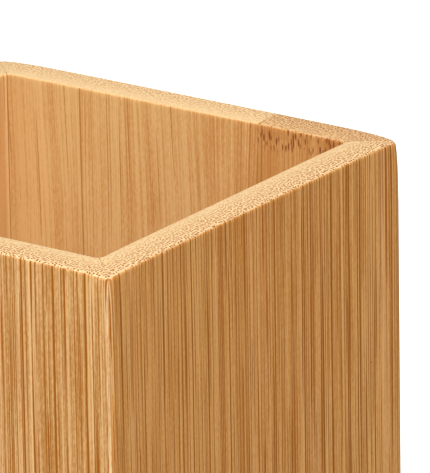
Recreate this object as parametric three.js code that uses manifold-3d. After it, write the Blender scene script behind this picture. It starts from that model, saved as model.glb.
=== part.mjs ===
// A square bamboo umbrella stand: four mitred boards glued round a base board, with a lift-out drip
// tray inside and four screwed-on rubber feet. Millimetres, +Z up, origin on the floor under the centre.
import * as THREE from "three";
import { mergeVertices } from "three/addons/utils/BufferGeometryUtils.js";
import Module from "manifold-3d";

// Driving dimensions.
const WIDTH = 150; // across the stand, outside, both ways
const HEIGHT = 500; // floor to rim
const BOARD = 12; // thickness of a wall board
const GAP = 0.3; // clearance or glue line between neighbouring pieces
const LIFT = 4; // the rubber feet hold the walls this far off the floor
const ARRIS = 2.2; // rounding of the four upright outer corners
const FILLET = 2; // rounding in the four upright inner corners
const ARC_STEPS = 12;

const BASE = { thickness: 8, underside: 12, tongue: 5 }; // tongue: how far it enters each wall
const SPLINE = { thickness: 3, width: 8, bottom: 40, top: 468, inset: 4 }; // inset: past the inner corner
const TRAY = { clearance: 1.5, height: 20, sheet: 1, corner: 10, draft: 0.012, bead: 3, beadRound: 0.9 };
const FOOT = { fromCentre: 48, topRadius: 10, bottomRadius: 8.6, recess: 5, recessDepth: 5, hole: 2.2 };
const WASHER = { outer: 4.6, inner: 2.1, thickness: 1 };
const SCREW = { shank: 1.6, head: 3.6, headHeight: 2.2, tip: 3, inBoard: 6.5, pilotExtra: 0.5 };

const half = WIDTH / 2;
const inner = half - BOARD; // half the width of the opening
const baseTop = BASE.underside + BASE.thickness;
const footHeight = BASE.underside - GAP;

const BAMBOO = { color: 0xd9a468, roughness: 0.5, metalness: 0 };
const BAMBOO_BASE = { color: 0xd3a06a, roughness: 0.55, metalness: 0 };
const BAMBOO_SPLINE = { color: 0xc98f55, roughness: 0.7, metalness: 0 };
const STEEL = { color: 0xb9bcbf, roughness: 0.32, metalness: 1 };
const ZINC = { color: 0xa9adb3, roughness: 0.4, metalness: 1 };
const RUBBER = { color: 0x2b2a29, roughness: 0.85, metalness: 0 };

const wasm = await Module();
wasm.setup();

// A closed three.js geometry as a manifold-3d solid, and back.
function solid(geometry) {
  const bare = geometry.clone();
  bare.deleteAttribute("normal");
  bare.deleteAttribute("uv");
  const merged = mergeVertices(bare, 1e-4);
  return new wasm.Manifold(
    new wasm.Mesh({
      numProp: 3,
      vertProperties: merged.attributes.position.array,
      triVerts: new Uint32Array(merged.index.array),
    }),
  );
}

function geometryOf(made) {
  const mesh = made.getMesh();
  const geometry = new THREE.BufferGeometry();
  geometry.setAttribute("position", new THREE.BufferAttribute(mesh.vertProperties, 3));
  geometry.setIndex(new THREE.BufferAttribute(mesh.triVerts, 1));
  geometry.computeVertexNormals();
  return geometry;
}

function box(sizeX, sizeY, sizeZ, x, y, z) {
  return new THREE.BoxGeometry(sizeX, sizeY, sizeZ).translate(x, y, z);
}

// A lathe profile given as [radius, height] pairs from the bottom up, turned about Z.
function lathe(profile, segments) {
  const points = profile.map(([radius, height]) => new THREE.Vector2(radius, height));
  return new THREE.LatheGeometry(points, segments).rotateX(Math.PI / 2);
}

const stand = new THREE.Group();

function add(name, geometry, finish, parent = stand) {
  const mesh = new THREE.Mesh(geometry, new THREE.MeshStandardMaterial(finish));
  mesh.name = name;
  parent.add(mesh);
  return mesh;
}

// --- Walls -----------------------------------------------------------------------------------
// The front wall lies along X with its outer face towards -Y. Its ends are mitred at 45 degrees and
// meet its neighbours across the glue line. At each end it has its half of the corner's outer
// rounding and of the inner one.
function wallOutline() {
  const outer = half - ARRIS; // the centres of the two roundings lie on the mitre
  const within = inner - FILLET;
  const glue = GAP / 2;
  const outerTrim = Math.asin(glue / ARRIS); // the arcs stop short of the mitre by half the glue line
  const innerTrim = Math.asin(glue / FILLET);
  const [toLeft, down, toRight] = [5, 6, 7].map((eighths) => (eighths * Math.PI) / 4);
  const outline = new THREE.Shape();
  outline.absarc(-within, -within, FILLET, down, toLeft + innerTrim, true);
  outline.absarc(-outer, -outer, ARRIS, toLeft + outerTrim, down, false);
  outline.absarc(outer, -outer, ARRIS, down, toRight - outerTrim, false);
  outline.absarc(within, -within, FILLET, toRight - innerTrim, down, true);
  outline.closePath();
  return outline;
}

// The slot that a mitre's loose spline sits in, across the mitre of the corner at (side, -1).
function splineBlank(side, extra) {
  const at = inner + SPLINE.inset;
  const blank = new THREE.BoxGeometry(
    SPLINE.width + 2 * extra,
    SPLINE.thickness + 2 * extra,
    SPLINE.top - SPLINE.bottom + 2 * extra,
  );
  blank.rotateZ((side * Math.PI) / 4);
  return blank.translate(side * at, -at, (SPLINE.top + SPLINE.bottom) / 2);
}

function wallGeometry() {
  const blank = new THREE.ExtrudeGeometry(wallOutline(), {
    depth: HEIGHT - LIFT,
    bevelEnabled: false,
    curveSegments: ARC_STEPS,
  }).translate(0, 0, LIFT);
  const grooveDepth = BASE.tongue + GAP;
  const groove = box(
    2 * WIDTH,
    2 * grooveDepth,
    BASE.thickness + 2 * GAP,
    0,
    -inner,
    BASE.underside + BASE.thickness / 2,
  );
  return geometryOf(
    solid(blank)
      .subtract(solid(groove))
      .subtract(solid(splineBlank(-1, GAP)))
      .subtract(solid(splineBlank(1, GAP))),
  );
}

const WALLS = ["front", "right", "back", "left"];
const CORNERS = ["front_right", "back_right", "back_left", "front_left"];
const wall = wallGeometry();
const spline = splineBlank(1, 0);
WALLS.forEach((side, turn) => {
  add(`wall_${side}`, wall, BAMBOO).rotation.z = (turn * Math.PI) / 2;
  add(`mitre_spline_${CORNERS[turn]}`, spline, BAMBOO_SPLINE).rotation.z = (turn * Math.PI) / 2;
});

// --- Base board ------------------------------------------------------------------------------
// A loose panel held in the walls' grooves, with a blind pilot hole over each foot.
const tipHeight = BASE.underside + SCREW.inBoard;
const baseWidth = 2 * (inner + BASE.tongue);
let baseBoard = solid(
  box(baseWidth, baseWidth, BASE.thickness, 0, 0, BASE.underside + BASE.thickness / 2),
);
for (const x of [-FOOT.fromCentre, FOOT.fromCentre]) {
  for (const y of [-FOOT.fromCentre, FOOT.fromCentre]) {
    const radius = SCREW.shank + GAP;
    const depth = SCREW.inBoard + SCREW.pilotExtra;
    const pilot = new THREE.CylinderGeometry(radius, radius, 2 * depth, 24).rotateX(Math.PI / 2);
    baseBoard = baseBoard.subtract(solid(pilot.translate(x, y, BASE.underside)));
  }
}
add("base_board", geometryOf(baseBoard), BAMBOO_BASE);

// --- Drip tray -------------------------------------------------------------------------------
// A pressed steel tray with a rolled rim. It stands on the base board and lifts straight out.
function roundedSquare(halfWidth, radius) {
  const flat = halfWidth - radius;
  const outline = new THREE.Shape();
  [
    [flat, flat],
    [-flat, flat],
    [-flat, -flat],
    [flat, -flat],
  ].forEach(([x, y], quarter) => {
    outline.absarc(x, y, radius, (quarter * Math.PI) / 2, ((quarter + 1) * Math.PI) / 2, false);
  });
  outline.closePath();
  return outline;
}

function pressedBlank(halfWidth, radius, bottom, top) {
  const round = 3;
  const blank = new THREE.ExtrudeGeometry(roundedSquare(halfWidth - round, radius - round), {
    depth: top - bottom,
    bevelSize: round,
    bevelThickness: round,
    bevelSegments: 4,
    curveSegments: 8,
  }).translate(0, 0, bottom + round);
  const place = blank.attributes.position;
  for (let i = 0; i < place.count; i++) {
    const scale = 1 - TRAY.draft * (1 - place.getZ(i) / TRAY.height);
    place.setXY(i, place.getX(i) * scale, place.getY(i) * scale);
  }
  return blank;
}

const beadHalf = inner - TRAY.clearance;
const trayHalf = beadHalf - TRAY.bead + TRAY.sheet; // the bead is rolled outwards from the side
const beadCorner = TRAY.corner + TRAY.bead - TRAY.sheet;
const beadShape = roundedSquare(beadHalf - TRAY.beadRound, beadCorner - TRAY.beadRound);
const beadWidth = TRAY.bead - TRAY.beadRound;
beadShape.holes.push(roundedSquare(beadHalf - beadWidth, beadCorner - beadWidth));
const bead = new THREE.ExtrudeGeometry(beadShape, {
  depth: TRAY.bead - 2 * TRAY.beadRound,
  bevelSize: TRAY.beadRound,
  bevelThickness: TRAY.beadRound,
  bevelSegments: 3,
  curveSegments: 8,
}).translate(0, 0, TRAY.height - TRAY.bead + TRAY.beadRound);
const keepBelow = box(WIDTH, WIDTH, TRAY.height, 0, 0, TRAY.height / 2 - 1);
const insideHalf = trayHalf - TRAY.sheet;
const insideCorner = TRAY.corner - TRAY.sheet;
const trayBody = solid(pressedBlank(trayHalf, TRAY.corner, 0, TRAY.height))
  .subtract(solid(pressedBlank(insideHalf, insideCorner, TRAY.sheet, TRAY.height + 8)))
  .intersect(solid(keepBelow));
const tray = add("drip_tray", geometryOf(trayBody.add(solid(bead))), STEEL);
tray.position.z = baseTop + GAP;

// --- Feet ------------------------------------------------------------------------------------
// Each foot is a tapered rubber buffer with a steel washer in its recess and one pan-head screw.
const shoulder = FOOT.recessDepth;
const foot = lathe(
  [
    [FOOT.recess, 0],
    [FOOT.bottomRadius - 0.8, 0],
    [FOOT.bottomRadius, 0.8],
    [FOOT.topRadius, footHeight - 0.6],
    [FOOT.topRadius - 0.6, footHeight],
    [FOOT.hole, footHeight],
    [FOOT.hole, shoulder],
    [FOOT.recess, shoulder],
    [FOOT.recess, 0],
  ],
  36,
);

const washerTop = shoulder - GAP;
const washerBottom = washerTop - WASHER.thickness;
const washer = lathe(
  [
    [WASHER.inner, washerBottom],
    [WASHER.outer, washerBottom],
    [WASHER.outer, washerTop],
    [WASHER.inner, washerTop],
    [WASHER.inner, washerBottom],
  ],
  32,
);

const bearing = washerBottom - GAP; // where the screw head meets the washer
const headBottom = bearing - SCREW.headHeight;
const screw = lathe(
  [
    [0, headBottom],
    [SCREW.head - 1.1, headBottom],
    [SCREW.head - 0.3, headBottom + 0.5],
    [SCREW.head, headBottom + 1.2],
    [SCREW.head, bearing],
    [SCREW.shank, bearing],
    [SCREW.shank, tipHeight - SCREW.tip],
    [0, tipHeight],
  ],
  24,
);

CORNERS.forEach((corner, turn) => {
  const at = new THREE.Group();
  const angle = (turn * Math.PI) / 2 - Math.PI / 4;
  const reach = FOOT.fromCentre * Math.SQRT2;
  at.position.set(reach * Math.cos(angle), reach * Math.sin(angle), 0);
  stand.add(at);
  add(`foot_${corner}`, foot, RUBBER, at);
  add(`foot_washer_${corner}`, washer, ZINC, at);
  add(`foot_screw_${corner}`, screw, ZINC, at);
});

export default stand;
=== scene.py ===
import math

import bmesh
import bpy
from mathutils import Matrix, Vector


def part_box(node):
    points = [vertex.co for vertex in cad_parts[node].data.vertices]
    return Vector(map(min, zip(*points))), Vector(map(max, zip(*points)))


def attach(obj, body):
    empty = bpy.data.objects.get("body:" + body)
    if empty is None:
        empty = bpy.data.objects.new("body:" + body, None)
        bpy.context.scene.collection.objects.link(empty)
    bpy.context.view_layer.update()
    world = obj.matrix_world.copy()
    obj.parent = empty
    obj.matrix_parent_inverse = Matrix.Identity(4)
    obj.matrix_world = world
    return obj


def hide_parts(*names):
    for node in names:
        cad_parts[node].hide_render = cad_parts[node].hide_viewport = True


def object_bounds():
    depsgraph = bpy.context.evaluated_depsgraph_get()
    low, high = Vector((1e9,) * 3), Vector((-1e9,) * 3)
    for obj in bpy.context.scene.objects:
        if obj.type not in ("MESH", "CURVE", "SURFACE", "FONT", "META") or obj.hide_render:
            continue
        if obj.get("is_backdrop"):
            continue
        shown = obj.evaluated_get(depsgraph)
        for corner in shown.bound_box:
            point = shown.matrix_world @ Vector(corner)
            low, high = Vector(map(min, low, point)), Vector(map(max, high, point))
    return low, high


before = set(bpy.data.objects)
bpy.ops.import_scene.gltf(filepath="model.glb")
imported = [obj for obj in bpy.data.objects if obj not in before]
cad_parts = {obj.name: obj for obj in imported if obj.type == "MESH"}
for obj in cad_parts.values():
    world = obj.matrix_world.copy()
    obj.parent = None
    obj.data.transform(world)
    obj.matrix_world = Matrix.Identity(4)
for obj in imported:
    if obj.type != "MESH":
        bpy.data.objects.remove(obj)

cad_low, cad_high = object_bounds()
scene = bpy.context.scene


# --- Studio -----------------------------------------------------------------------------------
# The stand is shown on a plain white floor in a white room, under one large soft lamp. It hangs
# high over the near corner, to the left, so the rim is brightest, then the left board. A small lamp
# under the floor shines straight up, and is only there so that the feet show from below.
LAMPS = {
    "key": {"at": (-1.5, -0.8, 2.9), "size": 2.0, "power": 130},
    "under": {"at": (0, 0, -1.2), "size": 0.1, "power": 9},
}
SKY = 0.55  # brightness of the white room round the stand
FLOOR_REACH = 40  # metres each way
FLOOR_TO_STAND = (0.35, 0.35, 0.35, 1)
FLOOR_TO_LENS = (0.95, 0.95, 0.95, 1)
FLOOR_GLOW = 0.5  # makes up for the lamp's falling off, in the lens only

near_corner = Vector((cad_low.x, cad_low.y, cad_high.z))
HEADING = math.radians(54.71)  # which way the lens points, turned from +Y towards +X
DIP = math.radians(18.93)
LEAN = math.radians(-0.9)
CORNER_IN_VIEW = Vector((-0.0303, -0.0114, -2.3020))  # right, up and back from the lens, in metres

lens = bpy.data.cameras.new("lens")
lens.lens = 614
lens.sensor_width = 36
lens.clip_end = 100
camera = bpy.data.objects.new("camera", lens)
scene.collection.objects.link(camera)
scene.camera = camera
aim = Matrix.Rotation(-HEADING, 4, "Z") @ Matrix.Rotation(math.pi / 2 - DIP, 4, "X")
aim = aim @ Matrix.Rotation(LEAN, 4, "Z")
camera.matrix_world = Matrix.Translation(near_corner - aim @ CORNER_IN_VIEW) @ aim

rim_centre = Vector((0, 0, cad_high.z))
for name, lamp in LAMPS.items():
    light = bpy.data.lights.new(name, "AREA")
    light.shape = "SQUARE"
    light.size = lamp["size"]
    light.energy = lamp["power"]
    hung = bpy.data.objects.new(name, light)
    hung.location = lamp["at"]
    hung.rotation_euler = (rim_centre - hung.location).to_track_quat("-Z", "Y").to_euler()
    scene.collection.objects.link(hung)

world = bpy.data.worlds.new("room")
world.use_nodes = True
world.node_tree.nodes["Background"].inputs["Color"].default_value = (1, 1, 1, 1)
world.node_tree.nodes["Background"].inputs["Strength"].default_value = SKY
scene.world = world
scene.view_settings.view_transform = "Standard"


SHARP_EDGE = math.radians(35)  # an edge that turns more than this is shaded as a sharp one


def finished(name, mesh_in_hand, material):
    """The object that the bmesh becomes, shaded smooth, with its place in its mesh."""
    mesh = bpy.data.meshes.new(name)
    mesh_in_hand.to_mesh(mesh)
    mesh_in_hand.free()
    mesh.shade_smooth()
    mesh.set_sharp_from_angle(angle=SHARP_EDGE)
    mesh.materials.append(material)
    thing = bpy.data.objects.new(name, mesh)
    scene.collection.objects.link(thing)
    return thing


def place(tree, kind, inputs=None, **settings):
    """A new shader node. Each input is given a value, or is joined to another node's output."""
    node = tree.nodes.new("ShaderNode" + kind)
    for name, value in settings.items():
        setattr(node, name, value)
    for name, value in (inputs or {}).items():
        if isinstance(value, bpy.types.NodeSocket):
            tree.links.new(value, node.inputs[name])
        else:
            node.inputs[name].default_value = value
    return node


def new_material(name):
    """An empty node material, its node tree and its Principled shader."""
    material = bpy.data.materials.new(name)
    material.use_nodes = True
    return material, material.node_tree, material.node_tree.nodes["Principled BSDF"]


# The floor is seen only from above, so that a view from below still shows the feet. It looks
# white, but it throws as little light back at the stand as a grey one, as a lit table would.
floor_material, tree, shader = new_material("white_floor")
path = place(tree, "LightPath").outputs
seen = path["Is Camera Ray"]
paint = place(tree, "Mix", {0: seen, 6: FLOOR_TO_STAND, 7: FLOOR_TO_LENS}, data_type="RGBA")
tree.links.new(paint.outputs[2], shader.inputs["Base Color"])
glow = place(tree, "CombineXYZ", {0: seen, 1: seen, 2: seen}).outputs[0]
tree.links.new(glow, shader.inputs["Emission Color"])
shader.inputs["Emission Strength"].default_value = FLOOR_GLOW
shader.inputs["Roughness"].default_value = 0.9
from_below = place(tree, "NewGeometry").outputs["Backfacing"]
passing = place(tree, "Math", {0: from_below, 1: path["Is Shadow Ray"]}, operation="MAXIMUM").outputs[0]
clear = place(tree, "BsdfTransparent").outputs[0]
shown = place(tree, "MixShader", {0: passing, 1: shader.outputs[0], 2: clear}).outputs[0]
tree.links.new(shown, tree.nodes["Material Output"].inputs["Surface"])
floor = bmesh.new()
bmesh.ops.create_grid(floor, x_segments=1, y_segments=1, size=FLOOR_REACH)
finished("floor", floor, floor_material)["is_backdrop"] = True


# --- Boards -----------------------------------------------------------------------------------
# Four boards of caramel bamboo, each glued up from strips whose dense outer cane faces outwards.
# They are mitred and glued round the base board, and then the box's arrises are sanded round, a
# little harder at the corners of the rim.
BOARD = 0.012
GLUE = 0.00002  # half of the glue line in a mitre
UPRIGHT_ARRIS = 0.0022
INNER_FILLET = 0.002
RIM_ARRIS = {"outer": 0.0011, "inner": 0.0007}
FOOT_ARRIS = {"outer": 0.0008, "inner": 0.0004}
GROOVE_DEPTH = 0.0053
GROOVE_PLAY = 0.0003
CORNER_SAG = 0.0010  # how far the sanding takes the rim down at a corner
SAG_REACH = 0.007  # how fast that fades along the rim
SAG_BAND = 0.00165  # the top of a board, which goes down with the rim
SAG_CUTS = [0.0012, 0.0025, 0.004, 0.006, 0.0085, 0.012, 0.016, 0.021, 0.028, 0.038]  # along it
CORNER_PULL = 0.0009  # how far the sanding takes the top of an upright arris in, both ways
PULL_REACH = 0.005  # how fast that fades along the rim and down from it
PULL_CUTS = [0.0018, 0.003, 0.0045, 0.0065, 0.009, 0.013, 0.020]  # below the rim
SPLINE_THICK = 0.003
SPLINE_WIDE = 0.008
SPLINE_PLAY = 0.0003
TOUCHING = 0.00001  # two heights or places closer than this are the same one

outer = cad_high.x
inner = outer - BOARD
board_middle = (outer + inner) / 2
foot_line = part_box("wall_front")[0].z
rim_line = cad_high.z
base_low, base_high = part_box("base_board")
spline_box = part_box("mitre_spline_front_right")
spline_reach = (spline_box[0] + spline_box[1]).xy.length / 2  # from the middle of the stand
spline_low, spline_high = spline_box[0].z, spline_box[1].z


def arris(mesh_in_hand, height, outside):
    """The edges at that height between a level face and an upright one, outside or inside the box."""
    found = []
    for edge in mesh_in_hand.edges:
        at = (edge.verts[0].co + edge.verts[1].co) / 2
        levels = [abs(face.normal.z) for face in edge.link_faces]
        turns_square = max(levels) - min(levels) > 0.9
        is_outside = max(abs(at.x), abs(at.y)) > board_middle
        if abs(at.z - height) < TOUCHING and is_outside == outside and turns_square:
            found.append(edge)
    return found


def upright_edges(mesh_in_hand, reach):
    """The upright edges on the corners that are that far from the middle both ways."""
    found = []
    for edge in mesh_in_hand.edges:
        away = [abs(abs(v.co.x) - reach) + abs(abs(v.co.y) - reach) for v in edge.verts]
        rises = abs(edge.verts[0].co.z - edge.verts[1].co.z) > TOUCHING
        if max(away) < TOUCHING and rises:
            found.append(edge)
    return found


def rounded(mesh_in_hand, edges, radius, segments):
    """Rounds the edges, or flattens them with one segment."""
    bmesh.ops.bevel(
        mesh_in_hand,
        geom=edges,
        offset=radius,
        offset_type="OFFSET",
        affect="EDGES",
        segments=segments,
        profile=0.5,
        material=-1,
        clamp_overlap=False,
    )


def pocket(mesh_in_hand, face, cuts, holds, depth):
    """Cuts the face along each cut, a point and a normal, and sinks the parts where holds is true."""
    outwards = face.normal.copy()
    parts = [face]
    for point, normal in cuts:
        around = list(dict.fromkeys(g for part in parts for g in [part, *part.edges, *part.verts]))
        cut = bmesh.ops.bisect_plane(mesh_in_hand, geom=around, plane_co=point, plane_no=normal)
        parts = [g for g in cut["geom"] if isinstance(g, bmesh.types.BMFace)]
    sunk = [part for part in parts if holds(part.calc_center_median())]
    grown = bmesh.ops.extrude_face_region(mesh_in_hand, geom=sunk)["geom"]
    verts = [g for g in grown if isinstance(g, bmesh.types.BMVert)]
    bmesh.ops.translate(mesh_in_hand, verts=verts, vec=-depth * outwards)
    bmesh.ops.delete(mesh_in_hand, geom=sunk, context="FACES")


def glued_box():
    """The whole box as it is glued up: one section, turned in four steps round the middle."""
    box = bmesh.new()
    groove_low = base_low.z - GROOVE_PLAY
    groove_high = base_high.z + GROOVE_PLAY
    deep = inner + GROOVE_DEPTH
    section = [
        (outer, foot_line),
        (outer, rim_line),
        (inner, rim_line),
        (inner, groove_high),
        (deep, groove_high),
        (deep, groove_low),
        (inner, groove_low),
        (inner, foot_line),
    ]
    points = [box.verts.new((reach, reach, height)) for reach, height in section]
    lines = [box.edges.new((a, b)) for a, b in zip(points, points[1:] + points[:1])]
    bmesh.ops.spin(
        box, geom=points + lines, axis=(0, 0, 1), angle=math.tau, steps=4, use_merge=True
    )
    bmesh.ops.recalc_face_normals(box, faces=box.faces)
    rounded(box, upright_edges(box, outer), UPRIGHT_ARRIS, segments=8)
    rounded(box, upright_edges(box, inner), INNER_FILLET, segments=6)
    rounded(box, arris(box, rim_line, outside=True), RIM_ARRIS["outer"], segments=5)
    rounded(box, arris(box, rim_line, outside=False), RIM_ARRIS["inner"], segments=4)
    rounded(box, arris(box, foot_line, outside=True), FOOT_ARRIS["outer"], segments=3)
    rounded(box, arris(box, foot_line, outside=False), FOOT_ARRIS["inner"], segments=2)
    return box


def scored(mesh_in_hand, point, normal, **clearing):
    """Cuts every face that the plane crosses, and clears one side of it if that is asked for."""
    bmesh.ops.bisect_plane(
        mesh_in_hand,
        geom=mesh_in_hand.verts[:] + mesh_in_hand.edges[:] + mesh_in_hand.faces[:],
        plane_co=point,
        plane_no=normal,
        **clearing,
    )


def front_board():
    """The front board: the box cut along two mitres, with a slot in each for half of a spline, and
    with the rim and the tops of the upright arrises sanded back at the corners."""
    board = glued_box()
    for side in (-1, 1):
        scored(board, (0, -GLUE * math.sqrt(2), 0), (side, 1, 0), clear_outer=True)
        gap = [e for e in board.edges if e.is_boundary]
        mitre = bmesh.ops.holes_fill(board, edges=gap)["faces"][0]
        mitre.normal_update()
        out = Vector((side, -1, 0)).normalized()
        near_side = out * (spline_reach - SPLINE_THICK / 2 - SPLINE_PLAY)
        far_side = out * (spline_reach + SPLINE_THICK / 2 + SPLINE_PLAY)
        under = Vector((0, 0, spline_low - SPLINE_PLAY))
        over = Vector((0, 0, spline_high + SPLINE_PLAY))
        up = Vector((0, 0, 1))

        def in_slot(at):
            between_ends = under.z < at.z < over.z
            return between_ends and near_side.dot(out) < at.dot(out) < far_side.dot(out)

        cuts = [(under, up), (over, up), (near_side, out), (far_side, out)]
        pocket(board, mitre, cuts, in_slot, SPLINE_WIDE / 2 + SPLINE_PLAY)
    for cut in SAG_CUTS:
        scored(board, (cut - outer, 0, 0), (1, 0, 0))
        scored(board, (outer - cut, 0, 0), (1, 0, 0))
    for cut in PULL_CUTS:
        scored(board, (0, 0, rim_line - cut), (0, 0, 1))
    for vertex in board.verts:
        from_corner = outer - abs(vertex.co.x)
        below_rim = rim_line - vertex.co.z
        if below_rim < SAG_BAND:
            vertex.co.z -= CORNER_SAG * math.exp(-from_corner / SAG_REACH)
        if below_rim < PULL_CUTS[-1] - TOUCHING and -vertex.co.y > board_middle:
            pull = CORNER_PULL * math.exp(-(from_corner + below_rim) / PULL_REACH)
            vertex.co.y += pull
            vertex.co.x -= math.copysign(pull, vertex.co.x)
    bmesh.ops.recalc_face_normals(board, faces=board.faces)
    return board


def number(tree, operation, *terms):
    """The result of one Math node."""
    return place(tree, "Math", dict(enumerate(terms)), operation=operation).outputs[0]


def across(tree, value, start, end, low=0.0, high=1.0):
    """The value's place between start and end, eased, as a number from low to high."""
    inputs = {"Value": value, "From Min": start, "From Max": end, "To Min": low, "To Max": high}
    return place(tree, "MapRange", inputs, interpolation_type="SMOOTHSTEP").outputs[0]


def tinted(tree, share, first, second, way="MIX"):
    """The first colour, with that share of the second mixed in."""
    mixed = place(tree, "Mix", {0: share, 6: first, 7: second}, data_type="RGBA", blend_type=way)
    return mixed.outputs[2]


def grain_noise(tree, x, y, z, detail=2.0):
    """Smooth noise at a place that is given by its three numbers."""
    at = place(tree, "CombineXYZ", {0: x, 1: y, 2: z}).outputs[0]
    inputs = {"Vector": at, "Scale": 1.0, "Detail": detail, "Roughness": 0.55}
    return place(tree, "TexNoise", inputs).outputs["Fac"]


RIM_GROUND = {"inside": (0.61, 0.42, 0.215, 1), "outside": (0.64, 0.44, 0.225, 1)}
BUNDLE_END = {"inside": (0.36, 0.15, 0.038, 1), "outside": (0.25, 0.068, 0.006, 1)}
ROSY = (1.06, 0.97, 1.25, 1)  # what a blush multiplies the colour by
BARED_FIBRE = (0.84, 0.59, 0.30, 1)
PAINTED_CORNER_SHADE = (0.90, 0.86, 0.80, 1)  # what the painted shade in the inner corners multiplies the colour by
# pale fibre ends on the arrises, partly a painted highlight
FIBRE_TUFT_AND_HIGHLIGHT = (0.80, 0.62, 0.38, 1)
KNUCKLE_SHADE = (0.78, 0.64, 0.52, 1)  # what a knuckle multiplies the colour by
KNUCKLE_DASH = (0.24, 0.07, 0.022, 1)
KNUCKLES_APART = 250.0  # millimetres, along a strip
MITRE_GLUE = (0.33, 0.13, 0.035, 1)
PINHOLE = (0.22, 0.09, 0.035, 1)
STRIPS_APART = 17.31  # in the noise, so that no strip repeats its neighbour


def bamboo_grain():
    """The bamboo itself, through and through: fibre bundles that run up the board, close together
    near its outer face and sparse near its inner one, the strips' joints, and the knuckles."""
    group = bpy.data.node_groups.new("bamboo_grain", "ShaderNodeTree")
    sockets = [
        ("Board", "NodeSocketVector"),  # millimetres: along the board, out from its inner face, up
        ("End grain", "NodeSocketFloat"),
        ("Seed", "NodeSocketFloat"),
        ("First joint", "NodeSocketFloat"),
        ("Second joint", "NodeSocketFloat"),
        ("Wander", "NodeSocketFloat"),
        ("Lines", "NodeSocketFloat"),
        ("Paler along", "NodeSocketFloat"),
        ("Frayed", "NodeSocketFloat"),
        ("Dots", "NodeSocketFloat"),
        ("Pooled", "NodeSocketFloat"),
        ("Knuckle", "NodeSocketFloat"),
        ("Stagger", "NodeSocketFloat"),
        ("Pale", "NodeSocketColor"),
        ("Deep", "NodeSocketColor"),
        ("Line", "NodeSocketColor"),
    ]
    for name, kind in sockets:
        group.interface.new_socket(name, in_out="INPUT", socket_type=kind)
    for name, kind in (
        ("Colour", "NodeSocketColor"),
        ("Relief", "NodeSocketFloat"),
        ("Roughness", "NodeSocketFloat"),
    ):
        group.interface.new_socket(name, in_out="OUTPUT", socket_type=kind)
    given = group.nodes.new("NodeGroupInput").outputs
    made = group.nodes.new("NodeGroupOutput").inputs

    def num(operation, *terms):
        return number(group, operation, *terms)

    def ease(value, start, end, low=0.0, high=1.0):
        return across(group, value, start, end, low, high)

    def swayed(base, noise, amount):
        """The base, moved either way by up to half the amount as the noise goes."""
        return num("MULTIPLY_ADD", num("SUBTRACT", noise, 0.5), amount, base)

    place_in_board = place(group, "SeparateXYZ", {0: given["Board"]}).outputs
    along, depth, height = place_in_board[0], place_in_board[1], place_in_board[2]

    # Each strip between two joints has a pattern and a tone of its own.
    strip = num(
        "ADD",
        num("GREATER_THAN", along, given["First joint"]),
        num("GREATER_THAN", along, given["Second joint"]),
    )
    seed = num("MULTIPLY_ADD", strip, STRIPS_APART, given["Seed"])
    strip_tone = place(group, "TexWhiteNoise", {"W": seed}, noise_dimensions="1D").outputs["Value"]

    def run_of(width, length, shift=0.0, detail=1.0):
        """Noise that is that wide across the grain and that long with it, in millimetres."""
        crosswise = num("DIVIDE", side, width)
        lengthwise = num("DIVIDE", height, length)
        return grain_noise(group, crosswise, num("ADD", seed, shift), lengthwise, detail)

    # The cane leans and wanders a little, so a bundle slides sideways and in and out of a face.
    drift = grain_noise(group, num("DIVIDE", along, 40), seed, num("DIVIDE", height, 150), 1.0)
    lean = num("MULTIPLY", num("MULTIPLY_ADD", strip_tone, 0.0011, -0.0003), given["Wander"])
    side = swayed(along, drift, given["Wander"])
    side = num("MULTIPLY_ADD", lean, height, side)
    into = swayed(depth, run_of(5, 320), 5.0)

    # Fibre bundles: a point in the cross-section, so a dot on end grain and a streak on a face.
    cell = place(group, "CombineXYZ", {0: num("MULTIPLY_ADD", seed, 7.7, side), 1: into}).outputs[0]
    bundles = place(
        group,
        "TexVoronoi",
        {"Vector": cell, "Scale": 0.92, "Randomness": 0.55},
        voronoi_dimensions="2D",
    ).outputs
    chance = place(group, "SeparateColor", {0: bundles["Color"]}).outputs
    there = ease(num("SUBTRACT", ease(depth, 0.0, 6.0, 0.6, 1.05), chance[0]), -0.04, 0.04)
    bundle = num("MULTIPLY", ease(bundles["Distance"], 0.38, 0.22), there)
    streak = num("MULTIPLY", bundle, num("MULTIPLY_ADD", chance[1], 0.7, 0.1))
    streak = num("MULTIPLY", streak, ease(run_of(0.9, 45, 2.0), 0.36, 0.58))

    def lines(spacing, width, length, shift):
        """Tapered lines along the grain: each thins out and ends where its run of noise gives out."""
        at = num("MULTIPLY_ADD", side, 1 / spacing, num("ADD", num("MULTIPLY", seed, 5.3), shift))
        in_row = {"W": at, "Scale": 1.0, "Randomness": 1.0}
        row = place(group, "TexVoronoi", in_row, voronoi_dimensions="1D").outputs
        own = num("MULTIPLY", place(group, "SeparateColor", {0: row["Color"]}).outputs[0], 91.0)
        lengthwise = num("DIVIDE", height, length)
        lasting = grain_noise(group, own, num("ADD", seed, shift), lengthwise, 1.0)
        lasting = num("SUBTRACT", lasting, ease(depth, 7.0, 0.0, 0.0, 0.12))
        breadth = ease(lasting, 0.42, 0.56, -0.08, width)
        apart = num("MULTIPLY", row["Distance"], spacing)
        return ease(num("SUBTRACT", breadth, apart), -0.02, 0.02)

    # Darker lines where the cane was split and pressed flat, and finer ones between them.
    crack = lines(3.0, 0.29, 110.0, 4.0)
    thread = num("MAXIMUM", lines(1.0, 0.18, 65.0, 8.0), num("MULTIPLY", streak, 0.7))
    dark = num("MAXIMUM", crack, num("MULTIPLY", thread, 0.8))
    dark = num("MINIMUM", num("MULTIPLY", dark, given["Lines"]), 1.0)

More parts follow.
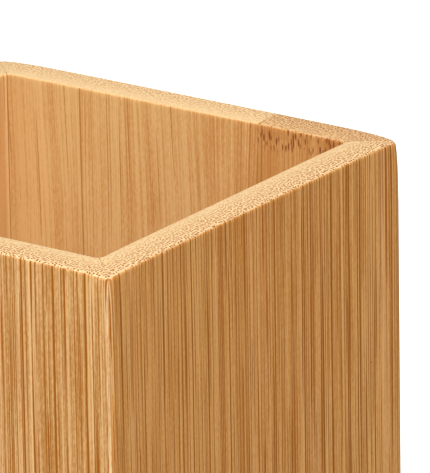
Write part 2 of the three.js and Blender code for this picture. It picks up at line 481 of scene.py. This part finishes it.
    # Tone, from broad bands to single fibres and short flecks in them.
    broad = run_of(4.5, 320, 0.0, 2.0)
    middle = run_of(1.1, 200, 9.0, 2.0)
    fine = run_of(0.33, 90, 21.0, 2.0)
    fleck = run_of(0.4, 1.5, 27.0)
    cloud = run_of(11, 26, 15.0, 3.0)
    tone = swayed(0.5, broad, 1.2)
    tone = swayed(tone, middle, num("MULTIPLY", given["Lines"], 0.65))
    tone = swayed(tone, fine, num("MULTIPLY", given["Lines"], 2.0))
    tone = swayed(tone, fleck, given["Lines"])
    tone = swayed(tone, strip_tone, 0.2)
    tone = num("MULTIPLY_ADD", along, given["Paler along"], tone)
    tone = swayed(tone, cloud, 0.45)
    face = tinted(group, ease(tone, 0.0, 1.0), given["Deep"], given["Pale"])
    blush = ease(run_of(2.4, 300, 33.0), 0.48, 0.66)
    blush = num("MULTIPLY", blush, ease(depth, 0.0, 8.0, 0.1, 0.35))
    face = tinted(group, blush, face, ROSY, "MULTIPLY")

    # Pale fibres that the sanding has bared lie between the dark lines, most on the outer faces.
    bared = num("MAXIMUM", num("SUBTRACT", given["Lines"], 0.75), 0.0)
    bared = num("MULTIPLY", lines(1.5, 0.15, 80.0, 12.0), bared)
    face = tinted(group, bared, face, BARED_FIBRE)
    face = tinted(group, dark, face, given["Line"])

    # Painted shade: the colour is darkened and deepened in the inner corners of the box, where shade
    # falls.
    from_middle = num("ABSOLUTE", along)
    pooled = num("MULTIPLY", ease(from_middle, 50.0, 62.0), ease(depth, 1.5, 0.2))
    pooled = num("MULTIPLY", pooled, given["Pooled"])
    face = tinted(group, pooled, face, PAINTED_CORNER_SHADE, "MULTIPLY")

    # Sanding frays the arrises: pale fibre ends show along the rim and down the corners, partly as a
    # painted highlight, which is set strongest on the left board, where the key lamp falls most.
    turning = num("MULTIPLY", given["End grain"], num("SUBTRACT", 1.0, given["End grain"]))
    turning = num("MULTIPLY", ease(turning, 0.02, 0.2), ease(depth, 8.0, 11.0))
    corner = num("MULTIPLY", ease(from_middle, 72.9, 73.7), 0.6)
    tufts = grain_noise(group, num("MULTIPLY", along, 2.2), depth, num("DIVIDE", height, 9))
    frayed = num("MULTIPLY", num("MAXIMUM", turning, corner), ease(tufts, 0.42, 0.58))
    frayed = num("MULTIPLY", frayed, given["Frayed"])

    # End grain: cream ground and orange-brown bundles, which show less towards the inside.
    ripe = ease(depth, 1.0, 12.0)
    ground = tinted(group, ripe, RIM_GROUND["inside"], RIM_GROUND["outside"])
    bundle_end = tinted(group, ripe, BUNDLE_END["inside"], BUNDLE_END["outside"])

    # A knuckle crosses each strip every quarter of a metre or so, as a band of short dark dashes.
    ripple = grain_noise(group, num("DIVIDE", along, 9), seed, 0.0, 1.0)
    tilt = swayed(0.0, strip_tone, 0.12)
    rise = num("MULTIPLY_ADD", along, tilt, num("MULTIPLY", ripple, 5.0))
    from_knuckle = num("SUBTRACT", num("SUBTRACT", height, given["Knuckle"]), rise)
    from_knuckle = num("MULTIPLY_ADD", strip, given["Stagger"], from_knuckle)
    from_knuckle = num("WRAP", from_knuckle, KNUCKLES_APART / 2, -KNUCKLES_APART / 2)
    from_knuckle = num("ABSOLUTE", from_knuckle)
    knuckle = ease(from_knuckle, 4.5, 1.0)
    knotty = ease(from_knuckle, 8.0, 3.5)
    strength = num("MULTIPLY", ease(depth, 0.0, 8.0, 0.4, 1.0), given["Dots"])
    strength = num("MAXIMUM", strength, knotty)
    end = tinted(group, num("MULTIPLY", bundle, strength), ground, bundle_end)
    colour = tinted(group, given["End grain"], face, end)
    # pale fibre ends and painted highlight on the arrises
    colour = tinted(group, frayed, colour, FIBRE_TUFT_AND_HIGHLIGHT)
    squat = {0: side, 1: into, 2: num("DIVIDE", height, 3.6)}
    squat = place(group, "CombineXYZ", squat).outputs[0]
    dashes = place(group, "TexVoronoi", {"Vector": squat, "Scale": 1.05, "Randomness": 0.9}).outputs
    dash_chance = place(group, "SeparateColor", {0: dashes["Color"]}).outputs[0]
    dash = num("MULTIPLY", ease(dashes["Distance"], 0.5, 0.25), ease(from_knuckle, 9.0, 4.0))
    dash = num("MULTIPLY", dash, num("LESS_THAN", dash_chance, 0.8))
    dash = num("MULTIPLY", dash, num("SUBTRACT", 1.0, given["End grain"]))
    knotty = num("MULTIPLY", knotty, given["End grain"])
    shade = num("MAXIMUM", num("MULTIPLY", knuckle, 0.3), num("MULTIPLY", knotty, 0.6))
    colour = tinted(group, shade, colour, KNUCKLE_SHADE, "MULTIPLY")
    colour = tinted(group, num("MULTIPLY", dash, 0.95), colour, KNUCKLE_DASH)

    # The glue lines in the mitres and between the strips, and a rare pinhole.
    def near(joint):
        return ease(num("ABSOLUTE", num("SUBTRACT", along, joint)), 0.16, 0.04)

    past_corner = num("SUBTRACT", from_middle, 1000 * inner)
    to_mitre = num("ABSOLUTE", num("SUBTRACT", past_corner, depth))
    mitre = num("MULTIPLY", ease(to_mitre, 0.4, 0.1), ease(depth, 2.0, 0.0, 0.25, 1.0))
    colour = tinted(group, num("MULTIPLY", mitre, 0.7), colour, MITRE_GLUE)
    seam = num("MAXIMUM", near(given["First joint"]), near(given["Second joint"]))
    colour = tinted(group, num("MULTIPLY", seam, 0.55), colour, given["Line"])
    pits = place(group, "TexVoronoi", {"Vector": given["Board"], "Scale": 0.045}).outputs
    pit = ease(pits["Distance"], 0.022, 0.012)
    colour = tinted(group, num("MULTIPLY", pit, 0.7), colour, PINHOLE)
    group.links.new(colour, made["Colour"])

    hollow = num("MAXIMUM", bundle, crack)
    for sunk in (dash, seam, pit):
        hollow = num("MAXIMUM", hollow, sunk)
    relief = num("MULTIPLY_ADD", hollow, -0.6, num("MULTIPLY", fine, 0.35))
    relief = num("MULTIPLY_ADD", knuckle, 0.4, relief)
    group.links.new(relief, made["Relief"])
    rough = num("MULTIPLY_ADD", given["End grain"], 0.14, num("MULTIPLY_ADD", middle, 0.12, 0.40))
    group.links.new(rough, made["Roughness"])
    return group


grain = bamboo_grain()


def bamboo(name, turn, thickness_from, **settings):
    """Lacquered bamboo for a board that is turned like that from lying upright across the front,
    and whose inner face is that far from the middle of the stand."""
    material, tree, shader = new_material(name)
    spot = place(tree, "TexCoord").outputs
    turned = place(tree, "Mapping", {0: spot["Object"], "Rotation": turn}).outputs[0]
    measured = {0: turned, 1: (1000, -1000, 1000), 2: (0, -1000 * thickness_from, 0)}
    measured = place(tree, "VectorMath", measured, operation="MULTIPLY_ADD").outputs[0]
    facing = {0: spot["Normal"], "Rotation": turn}
    facing = place(tree, "Mapping", facing, vector_type="NORMAL").outputs[0]
    upward = place(tree, "SeparateXYZ", {0: facing}).outputs[2]
    end_grain = across(tree, number(tree, "ABSOLUTE", upward), 0.45, 0.85)
    wood = place(tree, "Group", node_tree=grain)
    tree.links.new(measured, wood.inputs["Board"])
    tree.links.new(end_grain, wood.inputs["End grain"])
    for socket, value in settings.items():
        wood.inputs[socket.replace("_", " ").capitalize()].default_value = value
    tree.links.new(wood.outputs["Colour"], shader.inputs["Base Color"])
    tree.links.new(wood.outputs["Roughness"], shader.inputs["Roughness"])
    relief = {"Height": wood.outputs["Relief"], "Strength": 0.6, "Distance": 0.00008}
    tree.links.new(place(tree, "Bump", relief).outputs[0], shader.inputs["Normal"])
    shader.inputs["Specular IOR Level"].default_value = 0.12
    return material


PALE = (0.710, 0.368, 0.114, 1)
DEEP = (0.525, 0.212, 0.041, 1)
LINE = (0.33, 0.098, 0.005, 1)
# Each board sets how much painted shade darkens its inner corners and how strong the pale arris is,
# which is partly a painted highlight; the left board, lit most by the key lamp, has the strongest.
BOARDS = {
    "front": dict(
        seed=3.0, first_joint=-21.0, second_joint=32.0, knuckle=110.0, stagger=40.0,
        wander=2.5, lines=1.1, frayed=0.35, dots=1.0, pooled=0.8, paler_along=0.0020,
        pale=PALE, deep=DEEP, line=LINE,
    ),
    "right": dict(
        seed=11.0, first_joint=-31.0, second_joint=31.0, knuckle=496.5, stagger=97.0,
        wander=10.0, lines=0.7, frayed=0.3, dots=0.7, pooled=0.9, paler_along=0.0045,
        pale=(0.705, 0.432, 0.176, 1), deep=(0.515, 0.222, 0.058, 1), line=(0.37, 0.13, 0.018, 1),
    ),
    "back": dict(
        seed=19.0, first_joint=-38.0, second_joint=24.0, knuckle=352.0, stagger=97.0,
        wander=5.0, lines=0.75, frayed=0.3, dots=0.8, pooled=0.0, paler_along=0.0,
        pale=(0.80, 0.475, 0.195, 1), deep=(0.68, 0.36, 0.12, 1), line=LINE,
    ),
    "left": dict(
        seed=27.0, first_joint=-26.0, second_joint=40.0, knuckle=112.0, stagger=40.0,
        wander=1.5, lines=1.2, frayed=0.75, dots=1.0, pooled=0.8, paler_along=0.0,
        pale=(0.67, 0.395, 0.163, 1), deep=(0.435, 0.19, 0.041, 1), line=LINE,
    ),
}
blank = front_board()
for turn, (side_name, settings) in enumerate(BOARDS.items()):
    quarter = (0, 0, -turn * math.pi / 2)
    bamboo_here = bamboo(f"bamboo_{side_name}", quarter, inner, **settings)
    board = blank.copy()
    turned = Matrix.Rotation(turn * math.pi / 2, 3, "Z")
    bmesh.ops.rotate(board, verts=board.verts, matrix=turned)
    piece = finished(f"board_{side_name}", board, bamboo_here)
    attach(piece, "stand")
    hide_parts(f"wall_{side_name}")
blank.free()


# --- Mitre splines ----------------------------------------------------------------------------
# A loose tongue of plain bamboo is glued across each mitre, half in either board. It is sawn thin,
# its edges are planed off, and it stops short of the rim and of the floor, so it never shows.
SPLINE_EASED = 0.0004
NO_JOINT = -500.0  # a joint outside the piece, in millimetres
FIRST_SPLINE_SEED = 40.0
PLAIN = dict(
    stagger=97.0, lines=0.6, frayed=0.0, dots=1.0, pooled=0.0, paler_along=0.0,
    pale=PALE, deep=DEEP, line=LINE,
)
CORNERS = ["front_right", "back_right", "back_left", "front_left"]
for corner in CORNERS:
    low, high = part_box(f"mitre_spline_{corner}")
    centre = (low + high) / 2
    diagonal = math.atan2(centre.y, centre.x)
    strip = bmesh.new()
    bmesh.ops.create_cube(strip, size=1)
    bmesh.ops.scale(strip, verts=strip.verts, vec=(SPLINE_THICK, SPLINE_WIDE, high.z - low.z))
    rounded(strip, strip.edges[:], SPLINE_EASED, segments=1)
    bmesh.ops.rotate(strip, verts=strip.verts, matrix=Matrix.Rotation(diagonal, 3, "Z"))
    bmesh.ops.translate(strip, verts=strip.verts, vec=centre)
    sawn = bamboo(
        f"bamboo_spline_{corner}",
        (0, 0, -diagonal - math.pi / 2),
        centre.xy.length - SPLINE_THICK / 2,
        seed=FIRST_SPLINE_SEED + CORNERS.index(corner),
        first_joint=NO_JOINT,
        second_joint=NO_JOINT,
        knuckle=150.0,
        wander=3.0,
        **PLAIN,
    )
    piece = finished(f"spline_{corner}", strip, sawn)
    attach(piece, "stand")
    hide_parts(f"mitre_spline_{corner}")


# --- Base board -------------------------------------------------------------------------------
# A loose panel of the same bamboo, three strips wide with the grain from front to back, held in
# the grooves of the walls. It is sawn square and drilled for the foot screws, as the CAD has it.
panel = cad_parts["base_board"]
panel_bamboo = bamboo(
    "bamboo_panel",
    (math.pi / 2, 0, 0),
    -base_low.z,
    seed=51.0,
    first_joint=-23.0,
    second_joint=22.0,
    knuckle=12.0,
    wander=7.0,
    **PLAIN,
)
panel.data.materials.clear()
panel.data.materials.append(panel_bamboo)


# --- Drip tray --------------------------------------------------------------------------------
# A shallow tray pressed from one sheet of satin steel, with a rounded foot all round and its edge
# curled outwards into a bead. It stands loose on the base board and lifts straight out.
SHEET = 0.001
TRAY_CORNER = 0.0095  # of the middle of the sheet, at the top of the side
TRAY_FOOT = 0.0025  # rounding between floor and side, of the middle of the sheet
CURL = 0.001
CURL_END = math.radians(-100)
SIDE_LEAN = 0.0006  # how far the side comes in from top to bottom
ARC = 8  # faces to a quarter turn
CURL_ARC = 2 * ARC + 1  # faces round the curl
STEEL_DULL = (0.52, 0.53, 0.54, 1)
STEEL_BRIGHT = (0.66, 0.665, 0.67, 1)
WATER_RING = (0.8, 0.79, 0.76, 1)

tray_low, tray_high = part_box("drip_tray")
side_top = tray_high.x - SHEET / 2 - 2 * CURL  # the middle of the sheet
curl_height = tray_high.z - SHEET / 2 - CURL
corner_centre = side_top - TRAY_CORNER
foot_centre = side_top - SIDE_LEAN - TRAY_FOOT
floor_height = tray_low.z + SHEET / 2

steel_tray = bmesh.new()
bmesh.ops.create_grid(steel_tray, x_segments=1, y_segments=1, size=foot_centre)
bmesh.ops.translate(steel_tray, verts=steel_tray.verts, vec=(0, 0, floor_height))
bmesh.ops.bevel(
    steel_tray,
    geom=steel_tray.verts[:],
    offset=foot_centre - corner_centre,
    offset_type="OFFSET",
    affect="VERTICES",
    segments=ARC,
    profile=0.5,
)
profile = []  # half the width of the tray, and the height, from the floor to the end of the curl
for step in range(1, ARC + 1):
    swing = math.pi / 2 * step / ARC
    up = floor_height + TRAY_FOOT * (1 - math.cos(swing))
    profile.append((foot_centre + TRAY_FOOT * math.sin(swing), up))
for step in range(CURL_ARC + 1):
    swing = math.pi + (CURL_END - math.pi) * step / CURL_ARC
    up = curl_height + CURL * math.sin(swing)
    profile.append((side_top + CURL + CURL * math.cos(swing), up))
edge = [e for e in steel_tray.edges if e.is_boundary]
reach = foot_centre
for new_reach, height in profile:
    grown = bmesh.ops.extrude_edge_only(steel_tray, edges=edge)["geom"]
    edge = [g for g in grown if isinstance(g, bmesh.types.BMEdge)]
    for vertex in (g for g in grown if isinstance(g, bmesh.types.BMVert)):
        centre = Vector([math.copysign(corner_centre, c) for c in vertex.co.xy])
        spread = (new_reach - corner_centre) / (reach - corner_centre)
        vertex.co.xy = centre + (vertex.co.xy - centre) * spread
        vertex.co.z = height
    reach = new_reach
bmesh.ops.recalc_face_normals(steel_tray, faces=steel_tray.faces)

satin, tree, shader = new_material("tray_steel")
spot = place(tree, "TexCoord").outputs["Object"]
brushed = place(tree, "Mapping", {0: spot, "Scale": (90, 5200, 900)}).outputs[0]
strokes = place(tree, "TexNoise", {"Vector": brushed, "Scale": 1, "Detail": 3}).outputs["Fac"]
handled = place(tree, "TexNoise", {"Vector": spot, "Scale": 38, "Detail": 4}).outputs["Fac"]
dried = place(tree, "TexVoronoi", {"Vector": spot, "Scale": 55, "Randomness": 1}).outputs["Distance"]
ring = number(tree, "COMPARE", dried, 0.19, 0.012)
ring = number(tree, "MULTIPLY", ring, across(tree, handled, 0.52, 0.6))
steel = tinted(tree, across(tree, strokes, 0.3, 0.7), STEEL_DULL, STEEL_BRIGHT)
steel = tinted(tree, number(tree, "MULTIPLY", ring, 0.3), steel, WATER_RING)
tree.links.new(steel, shader.inputs["Base Color"])
gloss = number(tree, "MULTIPLY_ADD", handled, 0.2, across(tree, strokes, 0.3, 0.7, 0.2, 0.32))
tree.links.new(gloss, shader.inputs["Roughness"])
shader.inputs["Metallic"].default_value = 1
bump = place(tree, "Bump", {"Height": strokes, "Strength": 0.25, "Distance": 0.00002})
tree.links.new(bump.outputs[0], shader.inputs["Normal"])

piece = finished("tray", steel_tray, satin)
wall = piece.modifiers.new("sheet", "SOLIDIFY")
wall.thickness = SHEET
wall.offset = 0
wall.use_even_offset = True
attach(piece, "tray")
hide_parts("drip_tray")


# --- Feet -------------------------------------------------------------------------------------
# Four tapered buffers of moulded black rubber, each with a recess for its screw. They are matt,
# with the fine pebbling of the mould and a little dust on the parts that meet the floor.
FOOT_RADIUS = 0.010
FOOT_SOLE = 0.0086  # radius at the floor
FOOT_ROUNDING = 0.0007
RECESS = 0.005
RECESS_DEPTH = 0.005
SCREW_HOLE = 0.0022
TURNED_FACES = 48  # round a foot or a washer
ARRIS_TURN = 1.0  # an edge of a turned piece that turns more than this, in radians, gets rounded
RUBBER_DARK = (0.018, 0.017, 0.016, 1)
RUBBER_WORN = (0.03, 0.028, 0.026, 1)
FLOOR_DUST = (0.12, 0.11, 0.1, 1)
DUST_HEIGHT = 0.0035

foot_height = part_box("foot_front_right")[1].z


def lathed(section, steps, radius, segments):
    """A ring or a solid turned round Z from (radius, height) points, with its sharp edges rounded."""
    turned = bmesh.new()
    points = [turned.verts.new((distance, 0, height)) for distance, height in section]
    closed = section[0][0] > 0
    ends = points[1:] + points[:1] if closed else points[1:]
    lines = [turned.edges.new((a, b)) for a, b in zip(points, ends)]
    bmesh.ops.spin(
        turned, geom=points + lines, axis=(0, 0, 1), angle=math.tau, steps=steps, use_merge=True
    )
    bmesh.ops.remove_doubles(turned, verts=turned.verts, dist=1e-6)
    bmesh.ops.recalc_face_normals(turned, faces=turned.faces)
    arrises = [e for e in turned.edges if e.calc_face_angle(0) > ARRIS_TURN]
    rounded(turned, arrises, radius, segments)
    return turned


rubber, tree, shader = new_material("foot_rubber")
spot = place(tree, "TexCoord").outputs["Object"]
pebble = place(tree, "TexNoise", {"Vector": spot, "Scale": 2600, "Detail": 2}).outputs["Fac"]
patch = place(tree, "TexNoise", {"Vector": spot, "Scale": 220, "Detail": 4}).outputs["Fac"]
level = place(tree, "SeparateXYZ", {0: spot}).outputs[2]
dust = across(tree, level, DUST_HEIGHT, 0.0)
dust = number(tree, "MULTIPLY", dust, across(tree, patch, 0.4, 0.62))
black = tinted(tree, across(tree, patch, 0.3, 0.7), RUBBER_DARK, RUBBER_WORN)
black = tinted(tree, number(tree, "MULTIPLY", dust, 0.5), black, FLOOR_DUST)
tree.links.new(black, shader.inputs["Base Color"])
matt = number(tree, "MULTIPLY_ADD", dust, 0.2, across(tree, pebble, 0.3, 0.7, 0.62, 0.76))
tree.links.new(matt, shader.inputs["Roughness"])
bump = place(tree, "Bump", {"Height": pebble, "Strength": 0.5, "Distance": 0.00006})
tree.links.new(bump.outputs[0], shader.inputs["Normal"])
shader.inputs["Specular IOR Level"].default_value = 0.4

foot_section = [
    (RECESS, 0),
    (FOOT_SOLE, 0),
    (FOOT_RADIUS, foot_height),
    (SCREW_HOLE, foot_height),
    (SCREW_HOLE, RECESS_DEPTH),
    (RECESS, RECESS_DEPTH),
]
buffer = lathed(foot_section, TURNED_FACES, FOOT_ROUNDING, segments=4)
for corner in CORNERS:
    low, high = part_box(f"foot_{corner}")
    under_foot = Vector(((low.x + high.x) / 2, (low.y + high.y) / 2, 0))
    foot = buffer.copy()
    bmesh.ops.translate(foot, verts=foot.verts, vec=under_foot)
    piece = finished(f"rubber_foot_{corner}", foot, rubber)
    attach(piece, "stand")
    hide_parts(f"foot_{corner}")
buffer.free()


# --- Washers and screws -----------------------------------------------------------------------
# Each foot is held by a stamped washer and a pan-head screw with a cross recess, both zinc plated.
# They sit up in the foot's recess, clear of the floor. The plating is faintly blue and uneven.
WASHER_OUTER = 0.0046
WASHER_INNER = 0.0021
WASHER_EASED = 0.0002
HEAD = 0.0036
HEAD_CROWN = 0.0008  # how far the head bulges towards the floor
HEAD_GAP = 0.0003  # between the head and its washer
CROWN_FLAT = 0.0025  # radius of the flat that the cross is cut in
CROWN_STEPS = 5
CROSS_WIDE = 0.00085
CROSS_LONG = 0.0036
CROSS_DEPTH = 0.0013
SHANK = 0.0016
TIP = 0.003
SCREW_FACES = 32  # round it
SCREW_EASED = 0.0001
ZINC_BLUE = (0.46, 0.49, 0.55, 1)
ZINC_GREY = (0.62, 0.61, 0.56, 1)

zinc, tree, shader = new_material("zinc_steel")
spot = place(tree, "TexCoord").outputs["Object"]
bloom = place(tree, "TexNoise", {"Vector": spot, "Scale": 420, "Detail": 3}).outputs["Fac"]
grit = place(tree, "TexNoise", {"Vector": spot, "Scale": 3200, "Detail": 2}).outputs["Fac"]
plated = tinted(tree, across(tree, bloom, 0.35, 0.65), ZINC_BLUE, ZINC_GREY)
tree.links.new(plated, shader.inputs["Base Color"])
tree.links.new(across(tree, grit, 0.3, 0.7, 0.26, 0.44), shader.inputs["Roughness"])
shader.inputs["Metallic"].default_value = 1
bump = place(tree, "Bump", {"Height": grit, "Strength": 0.2, "Distance": 0.00002})
tree.links.new(bump.outputs[0], shader.inputs["Normal"])

long_arm = CROSS_LONG / 2
short_arm = CROSS_WIDE / 2
cross_cuts = []
for normal in (Vector((1, 0, 0)), Vector((0, 1, 0))):
    for arm in (-long_arm, long_arm, -short_arm, short_arm):
        cross_cuts.append((arm * normal, normal))


def in_cross(at):
    """Whether that place in a screw's head is under one of the cross's two arms."""
    nearer, farther = sorted((abs(at.x), abs(at.y)))
    return nearer < short_arm and farther < long_arm


for corner in CORNERS:
    low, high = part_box(f"foot_washer_{corner}")
    washer_section = [
        (WASHER_INNER, low.z),
        (WASHER_OUTER, low.z),
        (WASHER_OUTER, high.z),
        (WASHER_INNER, high.z),
    ]
    washer = lathed(washer_section, TURNED_FACES, WASHER_EASED, segments=2)
    under_foot = Vector(((low.x + high.x) / 2, (low.y + high.y) / 2, 0))
    bmesh.ops.translate(washer, verts=washer.verts, vec=under_foot)
    piece = finished(f"washer_{corner}", washer, zinc)
    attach(piece, "stand")
    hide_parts(f"foot_washer_{corner}")

    bearing = low.z - HEAD_GAP
    low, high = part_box(f"foot_screw_{corner}")
    crown = []
    for step in range(CROWN_STEPS + 1):
        swing = math.pi / 2 * step / CROWN_STEPS
        bulge = HEAD_CROWN * (1 - math.cos(swing))
        crown.append((CROWN_FLAT + (HEAD - CROWN_FLAT) * math.sin(swing), low.z + bulge))
    screw_section = [
        (0, low.z),
        *crown,
        (HEAD, bearing),
        (SHANK, bearing),
        (SHANK, high.z - TIP),
        (0, high.z),
    ]
    screw = lathed(screw_section, SCREW_FACES, SCREW_EASED, segments=2)
    under_head = [f for f in screw.faces if f.calc_center_median().z < low.z + TOUCHING]
    flat = bmesh.ops.dissolve_faces(screw, faces=under_head)["region"][0]
    pocket(screw, flat, cross_cuts, in_cross, CROSS_DEPTH)
    bmesh.ops.translate(screw, verts=screw.verts, vec=under_foot)
    piece = finished(f"screw_{corner}", screw, zinc)
    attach(piece, "stand")
    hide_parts(f"foot_screw_{corner}")


# --- Size -------------------------------------------------------------------------------------
low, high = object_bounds()
